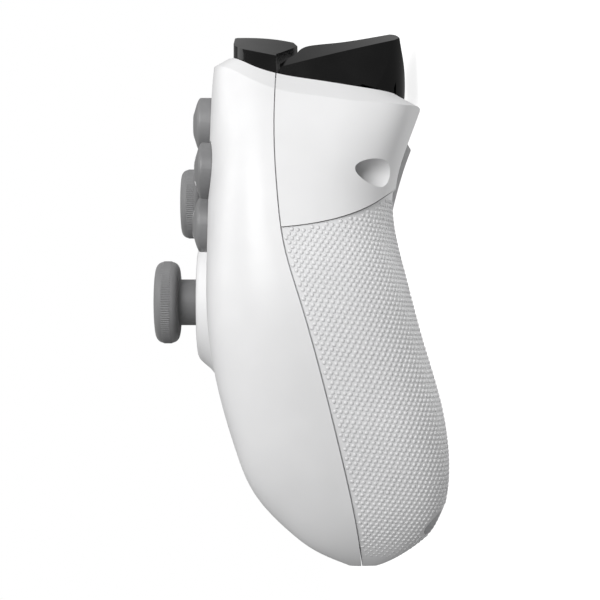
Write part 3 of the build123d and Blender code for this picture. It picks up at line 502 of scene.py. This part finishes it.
def seam_tongue(name, side):
    """A lip that crosses the parting line inside the wall, as such shells have to keep dust out."""
    form = merged("front_shell")
    surface = BVHTree.FromBMesh(form)
    form.free()
    start, stop = TONGUE_SPAN
    outer, inner = TONGUE_DEPTH
    profile = ((outer, -TONGUE_HALF), (inner, -TONGUE_HALF), (inner, TONGUE_HALF), (outer, TONGUE_HALF))
    corners, faces = [], []
    for step in range(TONGUE_STEPS + 1):
        y = start + (stop - start) * step / TONGUE_STEPS
        z = seam_height(y)
        place, normal, _, _ = surface.ray_cast(at(side * FAR, y, z + ABOVE_SEAM), along(-side, 0, 0))
        place, normal = design(place), TIP.transposed() @ normal
        inward = -Vector((normal.x, normal.y)).normalized()
        for depth, rise in profile:
            corners.append(at(place.x + inward.x * depth, y + inward.y * depth, z + rise))
    for step in range(TONGUE_STEPS):
        first = 4 * step
        for k in range(4):
            after = (k + 1) % 4
            faces.append((first + k, first + after, first + 4 + after, first + 4 + k))
    faces += [(0, 1, 2, 3), (first + 7, first + 6, first + 5, first + 4)]
    return add_piece("seam_tongue_" + name, corners, faces, "shell_white", "root", smooth=False)


for name, side in (("right", 1), ("left", -1)):
    seam_tongue(name, side)


# ================================================================ knurled rims of the sticks
CAP_ABOVE_PIVOT = 21.2      # top of a stick's cap above the point it tilts about
CAP_R = 8.75
KNURL = [(-3.55, -0.02), (-3.3, 0.13), (-1.75, 0.13), (-1.45, -0.02)]    # height from the cap's top, relief
KNURL_RIDGES = 108
KNURL_FOOT = -0.02          # the furrows lie this far under the cap's surface


def knurl(name):
    """A band of fine upright ridges around a stick's cap."""
    pivot = design(joints[f"stick_{name}_tilt_x"]["pos_m"])
    corners, faces = [], []
    count = 2 * KNURL_RIDGES
    for height, relief in KNURL:
        for step in range(count):
            turn = math.pi * step / KNURL_RIDGES
            radius = CAP_R + (relief if step % 2 else KNURL_FOOT)
            corners.append(at(pivot.x + radius * math.cos(turn), pivot.y + radius * math.sin(turn),
                              pivot.z + CAP_ABOVE_PIVOT + height))
    for ring in range(len(KNURL) - 1):
        for step in range(count):
            after = (step + 1) % count
            low = ring * count
            faces.append((low + step, low + after, low + count + after, low + count + step))
    return add_piece("stick_knurl_" + name, corners, faces, "stick_grey", "stick_" + name, smooth=False)


for name in ("right", "left"):
    knurl(name)


# ================================================================ printed marks on the buttons
PRINT_LIFT = 0.05           # how far the ink stands out
PRINT_SINK = 0.10
PRINT_STEP = 0.35           # the ink follows the button's surface in steps of this length
NUMERALS = {                # strokes of a figure five high and three wide, around its middle
    "1": [[(-0.9, 1.5), (0.2, 2.5), (0.2, -2.5)]],
    "2": [[(-1.4, 1.5), (-0.8, 2.3), (0.2, 2.5), (1.1, 2.1), (1.4, 1.2), (1.0, 0.3), (-1.5, -2.5),
           (1.6, -2.5)]],
    "3": [[(-1.4, 2.1), (-0.4, 2.5), (0.7, 2.4), (1.3, 1.7), (1.2, 0.8), (0.5, 0.2), (-0.3, 0.1)],
          [(0.5, 0.2), (1.3, -0.4), (1.5, -1.3), (1.0, -2.2), (0, -2.5), (-0.9, -2.4), (-1.5, -1.9)]],
    "4": [[(1.7, -1.1), (-1.6, -1.1), (0.7, 2.5), (0.7, -2.5)]],
}


def circle_stroke(radius, points=24):
    return [(radius * math.cos(2 * math.pi * k / points), radius * math.sin(2 * math.pi * k / points))
            for k in range(points + 1)]


def stepped(stroke):
    """A stroke with extra points, so that it can bend over the surface."""
    points = []
    for (xa, ya), (xb, yb) in zip(stroke, stroke[1:]):
        steps = max(1, math.ceil(math.dist((xa, ya), (xb, yb)) / PRINT_STEP))
        points += [Vector((xa + (xb - xa) * k / steps, ya + (yb - ya) * k / steps)) for k in range(steps)]
    return points + [Vector(stroke[-1])]


def printed(name, node, body, strokes, width):
    """Raised ink on a button's top, in strokes drawn around the button's middle."""
    form = merged(node)
    surface = BVHTree.FromBMesh(form)
    places = [design(corner.co) for corner in form.verts]
    middle_x = (min(p.x for p in places) + max(p.x for p in places)) / 2
    middle_y = (min(p.y for p in places) + max(p.y for p in places)) / 2
    corners, faces = [], []
    for stroke in strokes:
        points = stepped(stroke)
        first = len(corners)
        for index, point in enumerate(points):
            ahead = points[min(index + 1, len(points) - 1)] - points[max(index - 1, 0)]
            across = Vector((-ahead.y, ahead.x)).normalized() * width / 2
            for edge in (point + across, point - across):
                x, y = middle_x + edge.x, middle_y + edge.y
                place = surface.ray_cast(at(x, y, FAR), along(0, 0, -1))[0]
                corners.append(place + along(0, 0, 1) * PRINT_LIFT * MM)
                corners.append(place - along(0, 0, 1) * PRINT_SINK * MM)
        for index in range(len(points) - 1):
            a = first + 4 * index
            b = a + 4
            faces += [(a, b, b + 2, a + 2), (a + 1, a + 3, b + 3, b + 1), (a, a + 1, b + 1, b),
                      (a + 2, b + 2, b + 3, a + 3)]
        faces += [(first, first + 2, first + 3, first + 1), (b, b + 1, b + 3, b + 2)]
    form.free()
    return add_piece(name, corners, faces, "shell_white", body, smooth=False)


def button_marks():
    for figure, place in (("1", "south"), ("2", "east"), ("3", "west"), ("4", "north")):
        node = "button_" + place
        printed("numeral_" + figure, node, node, NUMERALS[figure], 0.75)
    bars = [[(-1.3, y), (1.3, y)] for y in (-0.9, 0, 0.9)]
    square = [[(-0.4, -1.1), (-1.1, -1.1), (-1.1, 0.4), (0.4, 0.4), (0.4, -1.1), (-0.4, -1.1)],
              [(-0.3, 1.1), (1.1, 1.1), (1.1, -0.3)]]
    arrow = [[(-1.2, 0.2), (-1.2, -0.9), (1.2, -0.9), (1.2, 0.2)], [(0, -0.3), (0, 1.1)]]
    ring = [circle_stroke(2.6)]
    for node, strokes, width in (("menu_button", bars, 0.38), ("view_button", square, 0.34),
                                 ("share_button", arrow, 0.34), ("home_button", ring, 0.55)):
        printed(node + "_mark", node, node, strokes, width)


button_marks()
